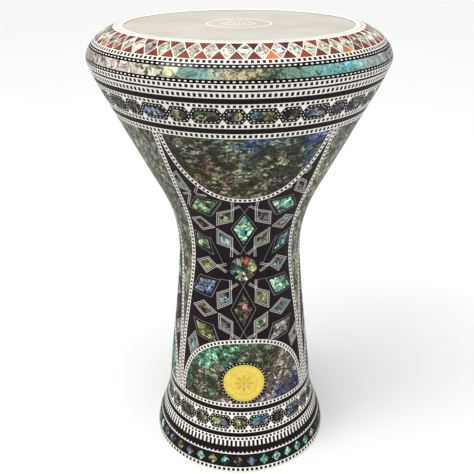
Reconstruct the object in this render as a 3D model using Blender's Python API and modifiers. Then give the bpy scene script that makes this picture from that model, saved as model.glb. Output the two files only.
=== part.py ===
"""Darbuka: a goblet drum cast in aluminium, dressed with strips and panels of shell inlay.

The drum stands on its foot at z = 0, upright along +Z, with the middle of one of its three
inlaid fields facing -Y. The cast goblet carries the drumhead on an inner collar. A rounded
tension ring sits over the head's hoop, and eight screws inside the bowl pull it down.
All sizes below are millimetres and degrees; meshes are made in metres.
"""

import math

import bmesh
import bpy
from mathutils import Matrix, Vector

MM = 0.001
NAME = "darbuka"

# Round pieces
SEGMENTS = 40
BOLT_SEGMENTS = 10
HOLE_SEGMENTS = 20
CHORD_ERROR = 0.15
CONVEX_CHORD_ERROR = 0.3
BAND_CHORD_ERROR = 0.2
MERGE = 1e-6
SHARP_ANGLE = 35.0

# Finished outside of the goblet as (height, radius), from the shoulder down to the foot
BODY_STATIONS = (
    (407.0, 136.0),
    (400.0, 133.1),
    (390.0, 128.6),
    (350.0, 108.8),
    (310.0, 88.6),
    (285.0, 75.8),
    (265.0, 67.9),
    (245.0, 63.4),
    (224.0, 61.7),
    (200.0, 62.9),
    (150.0, 67.8),
    (100.0, 73.8),
    (60.0, 77.8),
    (45.0, 80.5),
    (30.0, 86.0),
    (15.0, 91.2),
    (0.0, 94.1),
)
# Finished outside of the tension ring, from its inner lip over the top to the shoulder joint
RING_STATIONS = (
    (438.9, 105.3),
    (439.4, 107.4),
    (437.3, 115.2),
    (433.0, 123.6),
    (427.0, 130.9),
    (420.0, 135.8),
    (413.5, 137.5),
    (408.2, 136.7),
)
STEPS_PER_SPAN = 16
HALVINGS = 24

# Inlay: a thin skin glued over the casting
SKIN = 0.8
GLUE = 0.4
JOIN = 0.2
INLAY_DEPTH = SKIN + GLUE

# Casting
WALL = 5.0
NECK_WALL = 5.0
COLLAR_OUTER = 104.0
COLLAR_INNER = 99.5
COLLAR_TOP = 437.8
EDGE_ROUND = 1.5
DECK_BOTTOM = 400.0
FOOT_FLAT = 6.0
# Where the inside of the wall is read, as shares of its length from the foot to the deck
INSIDE_SHARES = (0.02, 0.08, 0.14, 0.3, 0.46, 0.54, 0.62, 0.7, 0.8, 0.99)

# Drumhead
HEAD_TOP = 438.5
FILM = 0.4
CLEARANCE = 0.3
HOOP_WIDTH = 5.0
HOOP_TOP = 429.0
HOOP_HEIGHT = 5.0

# Tension ring's inside
LIP_START = 0.6
LAND_INNER = 110.8
LAND_OUTER = 122.0
LAND_BOTTOM = 409.5
CHANNEL_TOP = 424.0
CHANNEL_RISE = 8.0
CHANNEL_OUTER = 129.5

# Tuning screws, M6 with 1 mm pitch
BOLTS = 8
BOLT_CIRCLE = 116.0
BOLT_RADIUS = 3.0
BOLT_TOP = 421.0
BOLT_HEAD_RADIUS = 5.0
BOLT_HEAD_HEIGHT = 6.0
SOCKET_RADIUS = 2.9
SOCKET_DEPTH = 3.0
SOCKET_SIDES = 6
BOLT_HOLE_RADIUS = 3.4
BOLT_HOLE_BOTTOM = 390.0
BOLT_HOLE_TOP = 425.5
CUT_PAST = 1.0

# Three inlaid fields round the goblet. Lengths run down the surface from the shoulder joint.
FIELDS = 3
FIELD_TURN = 360.0 / FIELDS
PANEL_TOP = 46.2
PANEL_BOTTOM = 349.4
STRIP_HALF = 2.15
FIELD_CLEAR = STRIP_HALF + 0.8
FIELD_TOP = 75.0
FIELD_BOTTOM = 308.0
WEDGE_BOTTOM = 285.0
# Half width of a field, in degrees, to the middle of its border strip, at distances down
BORDER_STATIONS = (
    (40.0, 39.9),
    (115.0, 43.4),
    (190.0, 48.6),
    (258.0, 55.1),
    (290.0, 57.3),
    (355.0, 57.9),
)
LENS_POWER = 2.3
LENS_HALF = 37.4
LENS_BOTTOM = 118.4
ARCH_HALF = 53.9
ARCH_TOP = 278.7
MEDALLION_DOWN = 325.2
MEDALLION_RADIUS = 21.1
BEAD_RING_WIDTH = 2.8
MEDALLION_REACH = 100.0
# How far across its half width each lens piece reaches, short of its pointed corners
UPPER_PANEL_SHARE = 0.94
LOWER_PANEL_SHARE = 0.93
LENS_STRIP_SHARE = 0.985
LENS_TOP_SHARE = 0.99
# Points across and along the patches
LENS_ROWS = 4
UPPER_PANEL_COLUMNS = 17
LOWER_PANEL_COLUMNS = 21
LENS_STRIP_POINTS = 25
BORDER_POINTS = 17
FIELD_ROWS = 8
FIELD_COLUMNS = 15
WEDGE_ROWS = 10
WEDGE_COLUMNS = 7

# Turned bands of inlay as (name, start, end, material), down from the lip or the shoulder
RING_BANDS = (
    ("ring_lip_strip", 0.7, 9.9, "bead_strip"),
    ("ring_diamond_band", 9.9, 25.8, "pearl_diamond"),
    ("ring_upper_ribbon", 25.8, 33.7, "bead_strip"),
    ("ring_pearl_band", 33.7, 41.8, "pearl"),
    ("ring_lower_ribbon", 41.8, 49.4, "bead_strip"),
)
BODY_BANDS = (
    ("shoulder_upper_ribbon", 0.4, 14.9, "bead_strip"),
    ("shoulder_chain_band", 14.9, 30.4, "chain_inlay"),
    ("shoulder_lower_ribbon", 30.4, 45.8, "bead_strip"),
    ("foot_upper_ribbon", 349.6, 363.5, "bead_strip"),
    ("foot_chain_band", 363.5, 379.1, "chain_inlay"),
    ("foot_middle_ribbon", 379.1, 391.1, "bead_strip"),
    ("foot_bar_band", 391.1, 405.6, "bead_strip"),
    ("foot_diamond_band", 405.6, 420.4, "abalone_diamond"),
    ("foot_rim_strip", 420.4, 425.6, "bead_strip"),
)

# Colour, roughness and metallic value of each material
MATERIALS = {
    "cast_aluminium": ((0.56, 0.56, 0.57), 0.45, 1.0),
    "ring_aluminium": ((0.62, 0.62, 0.62), 0.35, 1.0),
    "drumhead": ((0.66, 0.63, 0.56), 0.35, 0.0),
    "hoop_aluminium": ((0.7, 0.7, 0.71), 0.3, 1.0),
    "screw_steel": ((0.12, 0.12, 0.13), 0.35, 1.0),
    "bead_strip": ((0.8, 0.77, 0.72), 0.2, 0.0),
    "pearl_diamond": ((0.6, 0.4, 0.36), 0.2, 0.0),
    "pearl": ((0.7, 0.72, 0.66), 0.15, 0.0),
    "chain_inlay": ((0.12, 0.14, 0.13), 0.2, 0.0),
    "dark_mosaic": ((0.08, 0.1, 0.12), 0.2, 0.0),
    "black_field": ((0.012, 0.01, 0.012), 0.18, 0.0),
    "grey_mosaic": ((0.2, 0.2, 0.17), 0.22, 0.0),
    "green_mosaic": ((0.12, 0.25, 0.2), 0.2, 0.0),
    "abalone_diamond": ((0.1, 0.2, 0.2), 0.2, 0.0),
    "medallion_brass": ((0.7, 0.55, 0.1), 0.28, 1.0),
}


def smooth_curve(stations, steps):
    """A Catmull-Rom curve through the stations, as a list of points."""
    points = [Vector(p) for p in stations]
    points = [2 * points[0] - points[1], *points, 2 * points[-1] - points[-2]]
    curve = []
    for a, b, c, d in zip(points, points[1:], points[2:], points[3:]):
        for i in range(steps):
            t = i / steps
            curve.append(
                0.5 * (2 * b + (c - a) * t + (2 * a - 5 * b + 4 * c - d) * t**2
                       + (3 * b - a - 3 * c + d) * t**3)
            )
    curve.append(points[-2].copy())
    return curve


class Profile:
    """A turned outline that is read by the distance travelled along it."""

    def __init__(self, stations):
        self.points = smooth_curve([(r, z) for z, r in stations], STEPS_PER_SPAN)
        self.lengths = [0.0]
        for a, b in zip(self.points, self.points[1:]):
            self.lengths.append(self.lengths[-1] + (b - a).length)
        self.length = self.lengths[-1]

    def at(self, distance, depth=0.0):
        """(radius, height) at a distance along the outline, sunk inwards by depth."""
        distance = min(max(distance, 0.0), self.length)
        i = next(
            (k for k, reach in enumerate(self.lengths[1:]) if reach >= distance),
            len(self.points) - 2,
        )
        a, b = self.points[i], self.points[i + 1]
        share = (distance - self.lengths[i]) / (self.lengths[i + 1] - self.lengths[i])
        before = self.points[max(i - 1, 0)]
        after = self.points[min(i + 2, len(self.points) - 1)]
        along = (b - before).normalized().lerp((after - a).normalized(), share)
        outward = Vector((-along.y, along.x)).normalized()
        return a.lerp(b, share) - outward * depth

    def radius(self, distance):
        return self.at(distance).x

    def stretch(self, start, end, depth=0.0, error=CHORD_ERROR):
        """Points from start to end, close enough that chords stay near the outline."""
        middle = (start + end) / 2
        a, b = self.at(start, depth), self.at(end, depth)
        sag = (self.at(middle, depth) - (a + b) / 2).length
        if sag < error:
            return [a, b]
        first = self.stretch(start, middle, depth, error)
        return first[:-1] + self.stretch(middle, end, depth, error)


def lookup(stations, distance):
    """Smooth reading of a (distance, value) list."""
    curve = smooth_curve(stations, STEPS_PER_SPAN)
    for a, b in zip(curve, curve[1:]):
        if b.x >= distance:
            return a.y + (b.y - a.y) * (distance - a.x) / (b.x - a.x)
    return curve[-1].y


BODY = Profile(BODY_STATIONS)
RING = Profile(RING_STATIONS)


def on_goblet(degrees, distance):
    """A point of the goblet's outside in metres; degrees run from the front, towards +X."""
    radius, height = BODY.at(distance)
    angle = math.radians(degrees)
    return Vector((radius * math.sin(angle), -radius * math.cos(angle), height)) * MM


def material(name):
    """The named material, made once."""
    made = bpy.data.materials.get(name)
    if made is None:
        colour, roughness, metallic = MATERIALS[name]
        made = bpy.data.materials.new(name)
        made.use_nodes = True
        shader = made.node_tree.nodes["Principled BSDF"]
        shader.inputs["Base Color"].default_value = (*colour, 1.0)
        shader.inputs["Roughness"].default_value = roughness
        shader.inputs["Metallic"].default_value = metallic
        made.diffuse_color = (*colour, 1.0)
    return made


def collection(name):
    made = bpy.data.collections.new(name)
    bpy.context.scene.collection.children.link(made)
    return made


def add_object(name, mesh, finish, where):
    """A named object with its own material, in its collection."""
    made = bpy.data.objects.new(name, mesh)
    where.objects.link(made)
    if finish:
        own = material(finish).copy()
        own.name = name
        mesh.materials.append(own)
        mesh.shade_smooth()
        mesh.set_sharp_from_angle(angle=math.radians(SHARP_ANGLE))
    return made


def turned(name, outline, finish, where, segments=SEGMENTS, closed=True):
    """A solid of revolution. The outline runs down its outer side first."""
    mesh = bpy.data.meshes.new(name)
    edges = [(i, i + 1) for i in range(len(outline) - 1)]
    if closed:
        edges.append((len(outline) - 1, 0))
    mesh.from_pydata([(r * MM, 0.0, z * MM) for r, z in outline], edges, [])
    made = add_object(name, mesh, finish, where)
    screw = made.modifiers.new("turn", "SCREW")
    screw.axis = "Z"
    screw.angle = math.tau
    screw.steps = segments
    screw.render_steps = segments
    screw.use_merge_vertices = True
    screw.merge_threshold = MERGE
    screw.use_smooth_shade = True
    return made


def cylinders(name, places, radius, bottom, top, segments, where):
    """Upright cylinders in one cutter object."""
    shape = bmesh.new()
    for x, y in places:
        bmesh.ops.create_cone(
            shape,
            cap_ends=True,
            segments=segments,
            radius1=radius * MM,
            radius2=radius * MM,
            depth=(top - bottom) * MM,
            matrix=Matrix.Translation(Vector((x, y, (top + bottom) / 2)) * MM),
        )
    mesh = bpy.data.meshes.new(name)
    shape.to_mesh(mesh)
    shape.free()
    made = add_object(name, mesh, None, where)
    made.hide_render = True
    made.display_type = "WIRE"
    return made


def cut(target, cutter):
    change = target.modifiers.new("cut", "BOOLEAN")
    change.operation = "DIFFERENCE"
    change.solver = "EXACT"
    change.object = cutter


def bolt_places():
    """(x, y) of the tuning screws, the first one midway between two of the axes."""
    step = math.tau / BOLTS
    angles = [step * (k + 0.5) for k in range(BOLTS)]
    return [(BOLT_CIRCLE * math.cos(a), BOLT_CIRCLE * math.sin(a)) for a in angles]


# --- casting, head and ring ---


def goblet_shell(where, holes):
    """The one-piece casting: foot, neck, bowl, screw deck and the collar under the head."""
    outside = BODY.stretch(INLAY_DEPTH, BODY.length, INLAY_DEPTH)
    outside = [p for p in outside if p.y > INLAY_DEPTH]
    deck_top = outside[0].y
    foot_radius = BODY.radius(BODY.length) - INLAY_DEPTH
    underside = [(foot_radius, 0.0), (foot_radius - FOOT_FLAT, 0.0)]
    bowl_end = BODY.length - WALL
    inside = [
        BODY.at(bowl_end - share * (bowl_end - 2 * WALL), NECK_WALL + INLAY_DEPTH)
        for share in INSIDE_SHARES
    ]
    deck = [
        (inside[-1].x, DECK_BOTTOM),
        (COLLAR_INNER, DECK_BOTTOM),
    ]
    collar = [
        (COLLAR_INNER, COLLAR_TOP - EDGE_ROUND),
        (COLLAR_INNER + EDGE_ROUND, COLLAR_TOP),
        (COLLAR_OUTER - EDGE_ROUND, COLLAR_TOP),
        (COLLAR_OUTER, COLLAR_TOP - EDGE_ROUND),
        (COLLAR_OUTER, deck_top),
    ]
    outline = [(p.x, p.y) for p in outside] + underside
    outline += [(p.x, p.y) for p in inside] + deck + collar
    shell = turned("goblet_shell", outline, "cast_aluminium", where)
    cut(shell, holes)
    return shell


def tension_ring(where, holes):
    """The rounded cast ring: a lip over the hoop, a land for the screws, an open channel."""
    outside = RING.stretch(LIP_START, RING.length, INLAY_DEPTH, CONVEX_CHORD_ERROR)
    outline = [(p.x, p.y) for p in outside]
    bottom = RING.at(RING.length).y
    outline[-1] = (outline[-1][0], bottom)
    outline += [
        (CHANNEL_OUTER, bottom),
        (CHANNEL_OUTER, CHANNEL_TOP - CHANNEL_RISE),
        (LAND_OUTER, CHANNEL_TOP),
        (LAND_OUTER, LAND_BOTTOM),
        (LAND_INNER, LAND_BOTTOM),
        (LAND_INNER, HOOP_TOP + CLEARANCE),
        (RING.radius(0.0), HOOP_TOP + CLEARANCE),
        (RING.radius(0.0), RING.at(0.0).y - INLAY_DEPTH),
    ]
    ring = turned("tension_ring", outline, "ring_aluminium", where)
    cut(ring, holes)
    return ring


def flesh_hoop(where):
    """The square aluminium hoop that the head film is held in."""
    inner = COLLAR_OUTER + FILM + 2 * CLEARANCE
    bottom = HOOP_TOP - HOOP_HEIGHT
    outline = [
        (inner + HOOP_WIDTH, HOOP_TOP),
        (inner + HOOP_WIDTH, bottom),
        (inner, bottom),
        (inner, HOOP_TOP),
    ]
    turned("flesh_hoop", outline, "hoop_aluminium", where)


def drumhead_film(where):
    """The plastic head, drawn over the collar's edge and down into the hoop."""
    skirt_inner = COLLAR_OUTER + CLEARANCE
    skirt_outer = skirt_inner + FILM
    bottom = HOOP_TOP - HOOP_HEIGHT
    outline = [
        (0.0, HEAD_TOP),
        (skirt_outer - EDGE_ROUND, HEAD_TOP),
        (skirt_outer, HEAD_TOP - EDGE_ROUND),
        (skirt_outer, bottom),
        (skirt_inner, bottom),
        (skirt_inner, HEAD_TOP - EDGE_ROUND - FILM / 2),
        (skirt_outer - EDGE_ROUND - FILM / 2, HEAD_TOP - FILM),
        (0.0, HEAD_TOP - FILM),
    ]
    turned("drumhead_film", outline, "drumhead", where, closed=False)


def tuning_bolt(number, place, where, cutters):
    """A socket-head screw, head down, with its origin on its own axis under the deck."""
    shank = BOLT_TOP - DECK_BOTTOM + CLEARANCE
    outline = [
        (0.0, shank),
        (BOLT_RADIUS, shank),
        (BOLT_RADIUS, 0.0),
        (BOLT_HEAD_RADIUS, 0.0),
        (BOLT_HEAD_RADIUS, -BOLT_HEAD_HEIGHT),
        (0.0, -BOLT_HEAD_HEIGHT),
    ]
    name = f"tuning_bolt_{number}"
    bolt = turned(name, outline, "screw_steel", where, BOLT_SEGMENTS, closed=False)
    seat = Vector((*place, DECK_BOTTOM - CLEARANCE))
    bolt.location = seat * MM
    mouth = seat.z - BOLT_HEAD_HEIGHT
    socket = cylinders(
        f"socket_{number}",
        [place],
        SOCKET_RADIUS,
        mouth - CUT_PAST,
        mouth + SOCKET_DEPTH,
        SOCKET_SIDES,
        cutters,
    )
    cut(bolt, socket)


# --- inlay ---


def band(name, profile, start, end, finish, where):
    """A turned strip of inlay between two distances along a profile."""
    start += JOIN
    end -= JOIN
    outside = profile.stretch(start, end, 0.0, BAND_CHORD_ERROR)
    inside = profile.stretch(start, end, SKIN, BAND_CHORD_ERROR)
    outline = [(p.x, p.y) for p in outside] + [(p.x, p.y) for p in reversed(inside)]
    turned(name, outline, finish, where)


def skin(name, rows, finish, where, loop=False):
    """A patch of inlay: rows of points on the finished surface, thickened inwards."""
    shape = bmesh.new()
    across = len(rows[0])
    bmesh.ops.create_grid(shape, x_segments=across - 1, y_segments=len(rows) - 1, size=1.0)
    shape.verts.ensure_lookup_table()
    for j, row in enumerate(rows):
        for i, point in enumerate(row):
            shape.verts[j * across + i].co = point
    if loop:
        bmesh.ops.remove_doubles(shape, verts=shape.verts, dist=MERGE)
    bmesh.ops.recalc_face_normals(shape, faces=shape.faces)
    face = next(iter(shape.faces))
    middle = face.calc_center_median()
    if face.normal.dot(Vector((middle.x, middle.y, 0.0))) < 0:
        bmesh.ops.reverse_faces(shape, faces=shape.faces)
    mesh = bpy.data.meshes.new(name)
    shape.to_mesh(mesh)
    shape.free()
    made = add_object(name, mesh, finish, where)
    thicken = made.modifiers.new("skin", "SOLIDIFY")
    thicken.thickness = SKIN * MM
    thicken.offset = -1.0
    thicken.use_even_offset = True
    return made


def spread(start, end, count):
    """Evenly spaced values with both ends."""
    return [start + (end - start) * i / (count - 1) for i in range(count)]


def lens_edge(share, half, base, tip, inset):
    """(degrees, distance) on a lens outline, share from -1 to 1 across it, moved in by inset."""
    turn = share * math.pi / 2
    across, along = math.sin(turn), math.cos(turn)
    reach = (abs(across) ** LENS_POWER + along**LENS_POWER) ** (-1 / LENS_POWER)
    inwards = math.copysign(inset, inset * (tip - base))
    distance = base + (tip - base - inwards) * reach * along
    narrow = math.degrees(inset / BODY.radius(distance))
    return across * reach * (half - narrow), distance


def upper_lens(share, inset=0.0):
    return lens_edge(share, LENS_HALF, PANEL_TOP, LENS_BOTTOM, inset)


def lower_arch(share, inset=0.0):
    return lens_edge(share, ARCH_HALF, PANEL_BOTTOM, ARCH_TOP, inset)


def border(distance, inset=0.0):
    """Degrees from a field's middle to its border strip's centre, less inset."""
    narrow = math.degrees(inset / BODY.radius(distance))
    return lookup(BORDER_STATIONS, distance) - narrow


def upper_lens_panel(name, turn, where):
    """Dark mosaic under the shoulder: flat on top, hanging down in a round curve."""
    shares = spread(-UPPER_PANEL_SHARE, UPPER_PANEL_SHARE, UPPER_PANEL_COLUMNS)
    edge = [upper_lens(share, STRIP_HALF + JOIN) for share in shares]
    top = PANEL_TOP
    rows = [
        [on_goblet(a + turn, s + (top - s) * share) for a, s in edge]
        for share in spread(0.0, 1.0, LENS_ROWS)
    ]
    skin(name, rows, "dark_mosaic", where)


def lens_strip(name, outline, turn, where):
    """A bead strip that follows a lens outline."""
    shares = spread(-LENS_STRIP_SHARE, LENS_STRIP_SHARE, LENS_STRIP_POINTS)
    rows = [
        [on_goblet(a + turn, s) for a, s in (outline(x, inset) for x in shares)]
        for inset in (-STRIP_HALF + JOIN, STRIP_HALF - JOIN)
    ]
    skin(name, rows, "bead_strip", where)


def border_strip(name, side, turn, where):
    """A bead strip down one side of a field."""
    half = STRIP_HALF - JOIN
    rows = [
        [on_goblet(turn + side * border(s, inset), s) for inset in (-half, half)]
        for s in spread(PANEL_TOP, PANEL_BOTTOM - JOIN, BORDER_POINTS)
    ]
    skin(name, rows, "bead_strip", where)


def where_column_meets(outline, share):
    """How far down a column of the field, at a share across it, meets a lens outline."""
    low, high = 0.0, LENS_TOP_SHARE
    for _ in range(HALVINGS):
        middle = (low + high) / 2
        degrees, distance = outline(middle, -FIELD_CLEAR)
        if degrees < abs(share) * border(distance, FIELD_CLEAR):
            low = middle
        else:
            high = middle
    return outline(high, -FIELD_CLEAR)[1]


def field_panel(name, turn, where):
    """The black ground between the two lenses and the border strips."""
    columns = spread(-1.0, 1.0, FIELD_COLUMNS)
    tops = [max(where_column_meets(upper_lens, share), FIELD_TOP) for share in columns]
    bottoms = [min(where_column_meets(lower_arch, share), FIELD_BOTTOM) for share in columns]
    rows = []
    for climb in spread(0.0, 1.0, FIELD_ROWS):
        row = []
        for share, top, bottom in zip(columns, tops, bottoms):
            s = bottom + (top - bottom) * climb
            row.append(on_goblet(turn + share * border(s, FIELD_CLEAR), s))
        rows.append(row)
    skin(name, rows, "black_field", where)


def wedge_panel(name, turn, where):
    """Greyish mosaic that tapers down between two neighbouring fields."""
    clear = STRIP_HALF + JOIN
    rows = []
    for s in spread(WEDGE_BOTTOM, PANEL_TOP, WEDGE_ROWS):
        left = border(s, -clear)
        across = spread(left, FIELD_TURN - left, WEDGE_COLUMNS)
        rows.append([on_goblet(turn + a, s) for a in across])
    skin(name, rows, "grey_mosaic", where)


def around_medallion(radius, ray):
    """(degrees, distance) of a point at a radius from the medallion's centre, along a ray."""
    distance = MEDALLION_DOWN - radius * math.sin(ray)
    degrees = math.degrees(radius * math.cos(ray) / BODY.radius(distance))
    return degrees, distance


def lower_lens_panel(name, turn, where, cutters):
    """Bright mosaic under the arch, with a round hole for the medallion."""
    shares = spread(-LOWER_PANEL_SHARE, LOWER_PANEL_SHARE, LOWER_PANEL_COLUMNS)
    edge = [lower_arch(share, STRIP_HALF + JOIN) for share in shares]
    base = PANEL_BOTTOM - JOIN
    rows = [
        [on_goblet(a + turn, base + (s - base) * share) for a, s in edge]
        for share in spread(0.0, 1.0, LENS_ROWS)
    ]
    panel = skin(name, rows, "green_mosaic", where)
    hole = cylinders(
        f"hole_{name}",
        [(0.0, 0.0)],
        MEDALLION_RADIUS + BEAD_RING_WIDTH + JOIN,
        0.0,
        MEDALLION_REACH,
        HOLE_SEGMENTS,
        cutters,
    )
    hole.rotation_euler = (math.radians(90.0), 0.0, math.radians(turn))
    hole.location.z = BODY.at(MEDALLION_DOWN).y * MM
    cut(panel, hole)


def round_patch(name, radii, turn, finish, where):
    """A round or ring-shaped patch about the medallion's centre, from its rim inwards."""
    rays = [-math.tau * k / HOLE_SEGMENTS for k in range(HOLE_SEGMENTS + 1)]
    rows = [
        [on_goblet(turn + a, s) for a, s in (around_medallion(r, ray) for ray in rays)]
        for r in radii
    ]
    skin(name, rows, finish, where, loop=True)


def inlaid_field(number, turn, where, cutters):
    """One field of the goblet with everything inlaid in it."""
    upper_lens_panel(f"upper_lens_panel_{number}", turn, where)
    lens_strip(f"upper_lens_strip_{number}", upper_lens, turn, where)
    border_strip(f"border_strip_left_{number}", -1, turn, where)
    border_strip(f"border_strip_right_{number}", 1, turn, where)
    field_panel(f"field_panel_{number}", turn, where)
    lens_strip(f"lower_arch_strip_{number}", lower_arch, turn, where)
    lower_lens_panel(f"lower_lens_panel_{number}", turn, where, cutters)
    beads = (MEDALLION_RADIUS + BEAD_RING_WIDTH, MEDALLION_RADIUS + JOIN)
    disc = (MEDALLION_RADIUS, MEDALLION_RADIUS / 2, 0.0)
    round_patch(f"medallion_bead_ring_{number}", beads, turn, "bead_strip", where)
    round_patch(f"medallion_{number}", disc, turn, "medallion_brass", where)
    wedge_panel(f"wedge_panel_{number}", turn, where)


def build():
    for thing in list(bpy.data.objects):
        bpy.data.objects.remove(thing)
    parts = collection(NAME)
    cutters = collection(f"{NAME}_cutters")

    holes = cylinders(
        "bolt_holes",
        bolt_places(),
        BOLT_HOLE_RADIUS,
        BOLT_HOLE_BOTTOM,
        BOLT_HOLE_TOP,
        BOLT_SEGMENTS,
        cutters,
    )
    goblet_shell(parts, holes)
    tension_ring(parts, holes)
    flesh_hoop(parts)
    drumhead_film(parts)
    for number, place in enumerate(bolt_places(), 1):
        tuning_bolt(number, place, parts, cutters)

    for name, start, end, finish in RING_BANDS:
        band(name, RING, start, end, finish, parts)
    for name, start, end, finish in BODY_BANDS:
        band(name, BODY, start, end, finish, parts)
    for field in range(FIELDS):
        inlaid_field(field + 1, field * FIELD_TURN, parts, cutters)


build()
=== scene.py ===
"""Darbuka: the inlay, the metal and the head of a goblet drum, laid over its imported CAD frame.

Inlay is laid out in two dimensions on the turned outside of the drum: degrees round from the
front, towards +X, and millimetres down the surface from the ring's lip or from the shoulder.
"""

import math
import random
from math import cos, hypot, pi, radians, sin, tau

import bpy
import numpy as np
from mathutils import Matrix, Vector


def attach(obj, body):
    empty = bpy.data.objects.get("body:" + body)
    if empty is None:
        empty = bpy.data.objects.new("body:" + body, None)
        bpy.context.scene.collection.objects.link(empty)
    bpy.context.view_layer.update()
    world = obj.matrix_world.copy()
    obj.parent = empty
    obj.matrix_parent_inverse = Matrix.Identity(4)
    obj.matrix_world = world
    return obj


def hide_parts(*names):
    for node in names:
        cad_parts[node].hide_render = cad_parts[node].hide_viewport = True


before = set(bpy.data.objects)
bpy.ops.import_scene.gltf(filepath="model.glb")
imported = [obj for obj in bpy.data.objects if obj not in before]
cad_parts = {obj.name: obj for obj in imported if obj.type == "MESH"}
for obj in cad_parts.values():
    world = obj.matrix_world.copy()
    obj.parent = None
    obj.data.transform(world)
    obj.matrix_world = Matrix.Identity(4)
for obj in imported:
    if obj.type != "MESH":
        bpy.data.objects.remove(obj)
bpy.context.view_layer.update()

MM = 0.001
SKIN = 0.8  # thickness of an inlaid strip, millimetres
THIN = 0.4  # thickness of what is laid on a strip
DOT = 0.3  # thickness of small dots and diamonds
LAYER = 0.07  # how far each layer of the pattern stands over the one below
STEP = 2.5  # longest straight run of an edge on the curved surface
SHARP_ANGLE = 35  # edges sharper than this, in degrees, are not smoothed
random.seed(11)

# The finished outside as (height, radius): the goblet from its shoulder down, and the ring
BODY_STATIONS = (
    (407, 136), (400, 133.1), (390, 128.6), (350, 108.8), (310, 88.6), (285, 75.8), (265, 67.9),
    (245, 63.4), (224, 61.7), (200, 62.9), (150, 67.8), (100, 73.8), (60, 77.8), (45, 80.5),
    (30, 86), (15, 91.2), (0, 94.1),
)
RING_STATIONS = (
    (438.9, 105.3), (439.4, 107.4), (437.3, 115.2), (433, 123.6), (427, 130.9), (420, 135.8),
    (413.5, 137.5), (408.2, 136.7),
)
STEPS_PER_SPAN = 16
PLAIN_SIDES = 120  # sides of a plain turned strip


def smooth_curve(stations, steps=STEPS_PER_SPAN):
    """A Catmull-Rom curve through the stations, as an array of points."""
    p = np.array(stations, float)
    p = np.vstack([2 * p[0] - p[1], p, 2 * p[-1] - p[-2]])
    curve = []
    for a, b, c, d in zip(p, p[1:], p[2:], p[3:]):
        for i in range(steps):
            t = i / steps
            curve.append(
                0.5 * (2 * b + (c - a) * t + (2 * a - 5 * b + 4 * c - d) * t**2
                       + (3 * b - a - 3 * c + d) * t**3)
            )
    curve.append(p[-2])
    return np.array(curve)


class Profile:
    """The turned outside of the drum, read by the distance travelled down it."""

    def __init__(self, stations):
        curve = smooth_curve([(r, z) for z, r in stations])
        steps = np.linalg.norm(np.diff(curve, axis=0), axis=1)
        self.down = np.concatenate([[0], np.cumsum(steps)])
        self.curve = curve
        along = np.gradient(curve, self.down, axis=0)
        along /= np.linalg.norm(along, axis=1)[:, None]
        self.outward = np.stack([-along[:, 1], along[:, 0]], 1)

    def read(self, values, down):
        return np.array([np.interp(down, self.down, column) for column in values.T])

    def radius(self, down):
        return float(np.interp(down, self.down, self.curve[:, 0]))

    def point(self, degrees, down, lift=0):
        """A point in metres; lift is millimetres proud of the surface."""
        r, z = self.read(self.curve, down) + self.read(self.outward, down) * lift
        a = radians(degrees)
        return (r * sin(a) * MM, -r * cos(a) * MM, z * MM)


BODY = Profile(BODY_STATIONS)
RING = Profile(RING_STATIONS)


def linear(*rgb):
    """A colour given as 0 to 255 on screen, as linear light."""
    return tuple((c / 12.92 if c <= 0.04045 else ((c + 0.055) / 1.055) ** 2.4)
                 for c in (v / 255 for v in rgb))


# --- materials ---

LACQUER = 0.22  # weight of the clear coat over all inlay


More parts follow.
